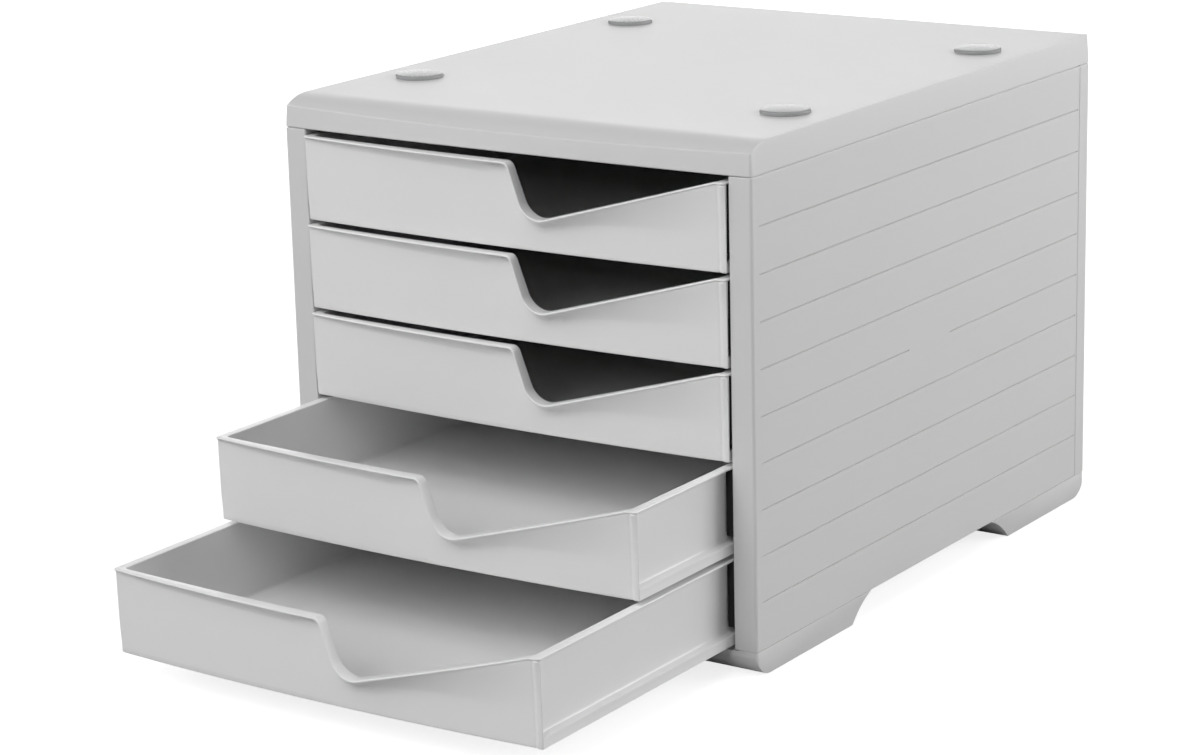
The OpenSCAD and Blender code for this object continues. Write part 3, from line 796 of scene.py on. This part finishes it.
def groove_tree():
    """Geometry nodes that cut a row of ramped grooves into the side panel."""
    tree, value = geometry_tree(
        "cut_grooves", ("Groove pitch", "First groove", "Groove height", "Groove depth", "Face",
                        "Start", "End", "Plain from", "Plain to"), ("Grooves", "Middle"))
    reach = 0.004

    def cutter(start, end):
        length = end - start
        whole = tree.node("ShaderNodeCombineXYZ", {}, [reach, length, value["Groove height"]])
        cube = tree.node("GeometryNodeMeshCube", {}, {"Size": whole})
        spot = tree.node("GeometryNodeInputPosition")
        parts = tree.node("ShaderNodeSeparateXYZ", {}, [spot]).link.node.outputs
        upper = tree.node("ShaderNodeMath", {"operation": "GREATER_THAN"},
                          [Socket(tree, parts[2]), 0.0])
        inner = tree.node("ShaderNodeMath", {"operation": "LESS_THAN"},
                          [Socket(tree, parts[0]), 0.0])
        lean = upper * inner * value["Groove depth"]
        push = tree.node("ShaderNodeCombineXYZ", {}, [lean, 0.0, 0.0])
        ramp = tree.node("GeometryNodeSetPosition", {}, {"Geometry": cube, "Offset": push})
        centre = tree.node("ShaderNodeCombineXYZ", {}, [
            value["Face"] + reach / 2 - value["Groove depth"], start + length * 0.5,
            value["Groove height"] * 0.5])
        return tree.node("GeometryNodeTransform", {}, {"Geometry": ramp, "Translation": centre})

    def joined(*meshes):
        both = tree.node("GeometryNodeJoinGeometry")
        for mesh in meshes:
            tree.nodes.links.new(mesh.link, both.link.node.inputs[0])
        return both

    first = tree.node("ShaderNodeCombineXYZ", {}, [0.0, 0.0, value["First groove"]])
    step = tree.node("ShaderNodeCombineXYZ", {}, [0.0, 0.0, value["Groove pitch"]])
    line = tree.node("GeometryNodeMeshLine", {}, {"Count": value["Grooves"],
                                                  "Start Location": first, "Offset": step})
    index = tree.node("GeometryNodeInputIndex")
    # the integer inputs of a Compare node are its third and fourth
    broken = tree.node("FunctionNodeCompare", {"data_type": "INT", "operation": "EQUAL"},
                       {2: index, 3: value["Middle"]})
    whole = tree.node("FunctionNodeBooleanMath", {"operation": "NOT"}, [broken])
    long_cut = cutter(value["Start"], value["End"])
    front_cut = cutter(value["Start"], value["Plain from"])
    rear_cut = cutter(value["Plain to"], value["End"])
    rows = tree.node("GeometryNodeInstanceOnPoints", {}, {
        "Points": line, "Selection": whole, "Instance": long_cut})
    gap = tree.node("GeometryNodeInstanceOnPoints", {}, {
        "Points": line, "Selection": broken, "Instance": joined(front_cut, rear_cut)})
    solid = tree.node("GeometryNodeRealizeInstances", {}, [joined(rows, gap)])
    cut = tree.node("GeometryNodeMeshBoolean", {"operation": "DIFFERENCE", "solver": "EXACT"},
                    [value["Geometry"], solid])
    return end_tree(tree, cut, value["Finish"])


def run_tree(thing, nodes, values):
    """Puts a geometry tree on an object and sets its inputs by their identifiers."""
    live = thing.modifiers.new(nodes.name, "NODES")
    live.node_group = nodes
    for item in nodes.interface.items_tree:
        if item.item_type == "SOCKET" and item.in_out == "INPUT" and item.name in values:
            live[item.identifier] = values[item.name]
    thing.update_tag()
    bpy.context.view_layer.update()


class DESKBOX_OT_side_panels(Operator):
    """Builds both side panels with their posts and their rows of grooves"""
    bl_idname = "desk_box.side_panels"
    bl_label = "Side panels"

    def execute(self, context):
        case = context.scene.desk_box_case
        outline, weights = panel_outline(case)
        rows = seam_rows(case.seam_notch / MM, (SEAM_LOW + 12, SEAM_HIGH - 12))
        made = Moulding()
        made.loft([inset_ring(outline, weights, inset, z) for z, inset in rows])
        plain = made.finish("right_side_plain", shell_finish())
        # places from the case's front; the middle groove leaves the side plain for a stretch
        front = CASE_FRONT * MM
        start, plain_from, plain_to = front + 0.0060, front + 0.144, front + 0.185
        run_tree(plain, groove_tree(), {
            "Groove pitch": case.groove_pitch, "First groove": SEAM_LOW * MM + case.groove_first,
            "Groove height": case.groove_height, "Groove depth": case.groove_depth,
            "Face": CASE_HALF * MM, "Start": start, "End": REAR_LOW.y - 0.0022,
            "Plain from": plain_from, "Plain to": plain_to,
            "Grooves": case.grooves, "Middle": case.grooves // 2, "Finish": shell_finish()})
        right = baked(plain, "right_side", shell_finish(), SIDE_CREASE)
        left_mesh = right.data.copy()
        left_mesh.transform(Matrix.Scale(-1, 4, Vector((1, 0, 0))))
        left_mesh.flip_normals()
        left = shown("left_side", left_mesh, shell_finish(), SIDE_CREASE)
        place(right, "case", "shell", "right_side_panel")
        place(left, "case", "shell", "left_side_panel")
        return {"FINISHED"}


class DESKBOX_OT_rear_panel(Operator):
    """Builds the back, which wraps round both rear corners"""
    bl_idname = "desk_box.rear_panel"
    bl_label = "Rear panel"

    def execute(self, context):
        case = context.scene.desk_box_case
        half, back = CASE_HALF, CASE_BACK
        seam, r, skin = REAR_LOW.y / MM, case.corner / MM, case.skin / MM
        inner = half - skin
        outer = [(half - 0.4, seam), (half - 0.1, seam + 0.12), (half, seam + 0.5)]
        outer += arc(half - r, back - r, r, 0, 90, 12)
        outer += arc(r - half, back - r, r, 90, 180, 12)
        outer += [(-half, seam + 0.5), (0.1 - half, seam + 0.12), (0.4 - half, seam)]
        inside = [(-inner, seam), (-inner, back - skin), (inner, back - skin), (inner, seam)]
        outline = outer + inside
        weights = [1.0] * len(outer) + [0.0] * len(inside)
        rows = seam_rows(case.seam_notch / MM)
        made = Moulding()
        made.loft([inset_ring(outline, weights, inset, z) for z, inset in rows])
        piece = made.finish("rear_wall", shell_finish(), SIDE_CREASE)
        place(piece, "case", "shell", "rear_panel")
        return {"FINISHED"}


class DESKBOX_OT_base(Operator):
    """Builds the plinths and the floor between them with soft edges"""
    bl_idname = "desk_box.base"
    bl_label = "Base"

    def execute(self, context):
        for node in ("front_plinth", "rear_plinth", "base_floor"):
            place(softened(node, 0.0004, shell_finish()), "case", "shell", node)
        return {"FINISHED"}


class DESKBOX_OT_runners(Operator):
    """Builds the runner plates with the rails that carry the trays, and guide strips at the front,
    all near-black as painted shade inside the case
    """
    bl_idname = "desk_box.runners"
    bl_label = "Runner plates"

    def execute(self, context):
        # near-black guide strips fill the gap between each tray's wall and the post, in
        # millimetres; they are painted shade, standing in for the shadow in that gap
        inner, outer = 118.0, 121.6
        front, back = CASE_FRONT + 0.6, CASE_FRONT + 19.0
        over_foot, under_rim = 8.7, 40.3
        feet = [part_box(f"drawer_{n}")[0].z / MM for n in range(1, TRAYS + 1)]
        for node, side in (("left_runner_plate", -1), ("right_runner_plate", 1)):
            near, away = sorted((side * inner, side * outer))
            strips = [(Vector((near, front, foot + over_foot)) * MM,
                       Vector((away, back, foot + under_rim)) * MM) for foot in feet]
            place(softened(node, 0.0002, painted_shade_finish(), strips), "case", "inner_dark", node)
        return {"FINISHED"}


def spread_tree(name):
    """Geometry nodes that put a thing at the four corners of a rectangle."""
    tree, value = geometry_tree(name, ("Across", "Along", "Height"))
    corners = tree.node("GeometryNodeMeshGrid", {}, {
        "Size X": value["Across"], "Size Y": value["Along"], "Vertices X": 2, "Vertices Y": 2})
    up = tree.node("ShaderNodeCombineXYZ", {}, [0.0, 0.0, value["Height"]])
    raised = tree.node("GeometryNodeTransform", {}, {"Geometry": corners, "Translation": up})
    many = tree.node("GeometryNodeInstanceOnPoints", {}, {"Points": raised,
                                                          "Instance": value["Geometry"]})
    return end_tree(tree, many, value["Finish"])


def turned(profile, steps=72):
    """Rings of a turned shape from its radius and height pairs."""
    angles = np.linspace(0, 2 * math.pi, steps, endpoint=False)
    return [[(r * math.cos(a), r * math.sin(a), z) for a in angles] for r, z in profile]


class DESKBOX_OT_pads(Operator):
    """Builds the four round glossy pads on the cover"""
    bl_idname = "desk_box.pads"
    bl_label = "Stacking pads"

    def execute(self, context):
        r = (PAD_HIGH.x - PAD_LOW.x) / 2 / MM
        rise = (PAD_HIGH.z / MM) - CASE_TOP
        profile = [(3.9, -4.9), (4.0, -4.6), (4.0, -0.05), (r - 0.35, -0.05), (r - 0.05, 0.1),
                   (r, 0.35), (r, 1.2), (r - 0.15, 1.55), (r - 0.5, 1.8), (r - 0.9, 1.93)]
        dome = rise - 1.94
        profile += [(d, rise - dome * (d / (r - 0.9)) ** 2) for d in np.linspace(r - 1.6, 0.6, 9)]
        made = Moulding()
        made.loft(turned(profile))
        one = made.finish("one_pad", pad_finish())
        centre = (PAD_LOW + PAD_HIGH) / 2
        run_tree(one, spread_tree("four_pads"), {
            "Across": 2 * abs(centre.x), "Along": 2 * abs(centre.y), "Height": CASE_TOP * MM,
            "Finish": pad_finish()})
        piece = baked(one, "stacking_pads", pad_finish(), crease=40.0)
        place(piece, "case", "pad", "stacking_pad_front_left", "stacking_pad_front_right",
              "stacking_pad_rear_left", "stacking_pad_rear_right")
        return {"FINISHED"}


class DESKBOX_OT_feet(Operator):
    """Builds the four anti-slip feet under the plinths"""
    bl_idname = "desk_box.feet"
    bl_label = "Anti-slip feet"

    def execute(self, context):
        r = (FOOT_HIGH.x - FOOT_LOW.x) / 2 / MM
        top = FOOT_HIGH.z / MM
        profile = [(0.6, 0.0), (r - 0.6, 0.0), (r - 0.2, 0.12), (r, 0.4), (r, top - 0.1),
                   (r - 0.1, top), (0.6, top)]
        made = Moulding()
        made.loft(turned(profile, 48))
        grip = rubber("grip_rubber", (0.035, 0.035, 0.037))
        one = made.finish("one_foot", grip)
        centre = (FOOT_LOW + FOOT_HIGH) / 2
        run_tree(one, spread_tree("four_feet"), {
            "Across": 2 * abs(centre.x), "Along": 2 * abs(centre.y), "Height": 0.0, "Finish": grip})
        piece = baked(one, "anti_slip_feet", grip)
        place(piece, "case", "grip", "anti_slip_foot_front_left", "anti_slip_foot_front_right",
              "anti_slip_foot_rear_left", "anti_slip_foot_rear_right")
        return {"FINISHED"}


# ---------------------------------------------------------------- stage

def aim(thing, spot, target):
    """Stands a lamp at spot and points it at target."""
    ahead = (Vector(target) - Vector(spot)).normalized()
    turn = ahead.to_track_quat("-Z", "Y").to_matrix().to_4x4()
    thing.matrix_world = Matrix.Translation(Vector(spot)) @ turn


def softbox(name, spot, target, power):
    """A square lamp at spot that points at target."""
    data = bpy.data.lights.new(name, "AREA")
    data.shape = "RECTANGLE"
    data.size = data.size_y = LAMP_SIZE
    data.energy = power
    lamp = bpy.data.objects.new(name, data)
    bpy.context.scene.collection.objects.link(lamp)
    aim(lamp, spot, target)


def camera():
    """The camera at the photograph's viewing angle."""
    side, up_angle, roll = map(math.radians, (34.653, 15.099, -1.426))
    ahead = Vector((-math.sin(side) * math.cos(up_angle), math.cos(side) * math.cos(up_angle),
                    -math.sin(up_angle)))
    right = Vector((math.cos(side), math.sin(side), 0))
    up = right.cross(ahead)
    right_r = math.cos(roll) * right + math.sin(roll) * up
    up_r = math.cos(roll) * up - math.sin(roll) * right
    data = bpy.data.cameras.new("view")
    data.sensor_width = 36.0
    data.lens = 99.0
    data.clip_start = 0.05
    data.clip_end = 50.0
    made = bpy.data.objects.new("view", data)
    bpy.context.scene.collection.objects.link(made)
    turn = Matrix((right_r, up_r, -ahead)).transposed().to_4x4()
    made.matrix_world = Matrix.Translation(Vector((0.8959, -1.3934, 0.5361))) @ turn
    bpy.context.scene.camera = made


def paper_floor():
    """A pale floor that also glows for the camera, so that it reads white."""
    far = FLOOR_HALF
    mesh = bpy.data.meshes.new("floor")
    corners = [(-far, -far, 0), (far, -far, 0), (far, far, 0), (-far, far, 0)]
    mesh.from_pydata(corners, [], [(0, 1, 2, 3)])
    pale = bpy.data.materials.new("floor_paper")
    tree = empty_tree(pale)
    rays = tree.node("ShaderNodeLightPath")
    lit = tree.node("ShaderNodeBsdfDiffuse", {}, {"Color": (0.5, 0.5, 0.5, 1.0)})
    # the glow is a little weaker near the case, where its shadow falls
    spot = tree.node("ShaderNodeTexCoord", output=3)
    away = tree.node("ShaderNodeVectorMath", {"operation": "LENGTH"}, [spot], 1)
    white = tree.node("ShaderNodeMapRange", {"interpolation_type": "SMOOTHSTEP"}, {
        "Value": away, "From Min": 0.6, "From Max": 2.2, "To Min": 0.8, "To Max": 1.0})
    glow = tree.node("ShaderNodeEmission", {}, {"Color": white, "Strength": 1.0})
    both = tree.node("ShaderNodeAddShader", {}, [lit, glow])
    seen = tree.node("ShaderNodeMixShader", {}, [rays, lit, both])
    tree.node("ShaderNodeOutputMaterial", {}, {"Surface": seen})
    mesh.materials.append(pale)
    floor = bpy.data.objects.new("floor", mesh)
    bpy.context.scene.collection.objects.link(floor)


def studio_world():
    """A world that is white for the camera, a pale low band for gloss and dark for the rest."""
    world = bpy.data.worlds.new("studio")
    bpy.context.scene.world = world
    tree = empty_tree(world)
    path = tree.node("ShaderNodeLightPath").link.node
    seen = Socket(tree, path.outputs["Is Camera Ray"])
    through = Socket(tree, path.outputs["Is Transmission Ray"])
    shiny = Socket(tree, path.outputs["Is Glossy Ray"])
    way = tree.node("ShaderNodeTexCoord")
    height = tree.node("ShaderNodeSeparateXYZ", {}, [way], 2)
    band = tree.node("ShaderNodeMapRange", {"interpolation_type": "SMOOTHSTEP"}, {
        "Value": height, "From Min": math.sin(math.radians(21)),
        "From Max": math.sin(math.radians(31)), "To Min": 0.2, "To Max": 0.0})
    strength = seen.math("MAXIMUM", seen, through) + shiny * band
    sky = tree.node("ShaderNodeBackground", {}, {"Color": (1, 1, 1, 1), "Strength": strength})
    tree.node("ShaderNodeOutputWorld", {}, {"Surface": sky})


class DESKBOX_OT_stage(Operator):
    """Sets up the pale floor, the soft lamps, the world and the camera"""
    bl_idname = "desk_box.stage"
    bl_label = "Stage"

    def execute(self, context):
        context.scene.view_settings.view_transform = "Standard"
        camera()
        paper_floor()
        studio_world()
        # name, angle from the front, angle above the floor, power
        middle = Vector((0, 0, 0.12))
        for name, turn, height, power in (
                ("rear_left", -145, 14, 13.5), ("rear_right", 150, 14, 18),
                ("fill_left", -60, 28, 16), ("front_high", 0, 35, 28.5), ("overhead", 0, 65, 13),
                ("fill_right", 45, 45, 4), ("side_right", 120, 20, 33)):
            across, up = math.radians(turn), math.radians(height)
            way = Vector((math.sin(across) * math.cos(up), -math.cos(across) * math.cos(up),
                          math.sin(up)))
            softbox(name, middle + LAMP_DISTANCE * way, middle, power)
        return {"FINISHED"}


class DESKBOX_PT_sidebar(Panel):
    """Lists the pieces of the desk box"""
    bl_idname = "DESKBOX_PT_sidebar"
    bl_label = "Desk file drawer"
    bl_space_type = "VIEW_3D"
    bl_region_type = "UI"
    bl_category = "Desk file drawer"

    def draw(self, context):
        column = self.layout.column()
        for step in PIECES:
            column.operator(step.bl_idname)
        for group in (context.scene.desk_box_case, context.scene.desk_box_tray,
                      context.scene.desk_box_finish):
            box = self.layout.box()
            for name in group.__annotations__:
                box.prop(group, name)


PIECES = (DESKBOX_OT_trays, DESKBOX_OT_top_cover, DESKBOX_OT_side_panels, DESKBOX_OT_rear_panel,
          DESKBOX_OT_base, DESKBOX_OT_runners, DESKBOX_OT_pads, DESKBOX_OT_feet, DESKBOX_OT_stage)
GROUPS = {"desk_box_case": DeskBoxCase, "desk_box_tray": DeskBoxTray,
          "desk_box_finish": DeskBoxFinish}


def register():
    for group in GROUPS.values():
        bpy.utils.register_class(group)
    for name, group in GROUPS.items():
        setattr(bpy.types.Scene, name, PointerProperty(type=group))
    for step in PIECES:
        bpy.utils.register_class(step)
    bpy.utils.register_class(DESKBOX_PT_sidebar)


def unregister():
    bpy.utils.unregister_class(DESKBOX_PT_sidebar)
    for step in reversed(PIECES):
        bpy.utils.unregister_class(step)
    for name in GROUPS:
        delattr(bpy.types.Scene, name)
    for group in reversed(GROUPS.values()):
        bpy.utils.unregister_class(group)


def main():
    register()
    for step in PIECES:
        group, name = step.bl_idname.split(".")
        getattr(getattr(bpy.ops, group), name)()


if __name__ == "__main__":
    main()
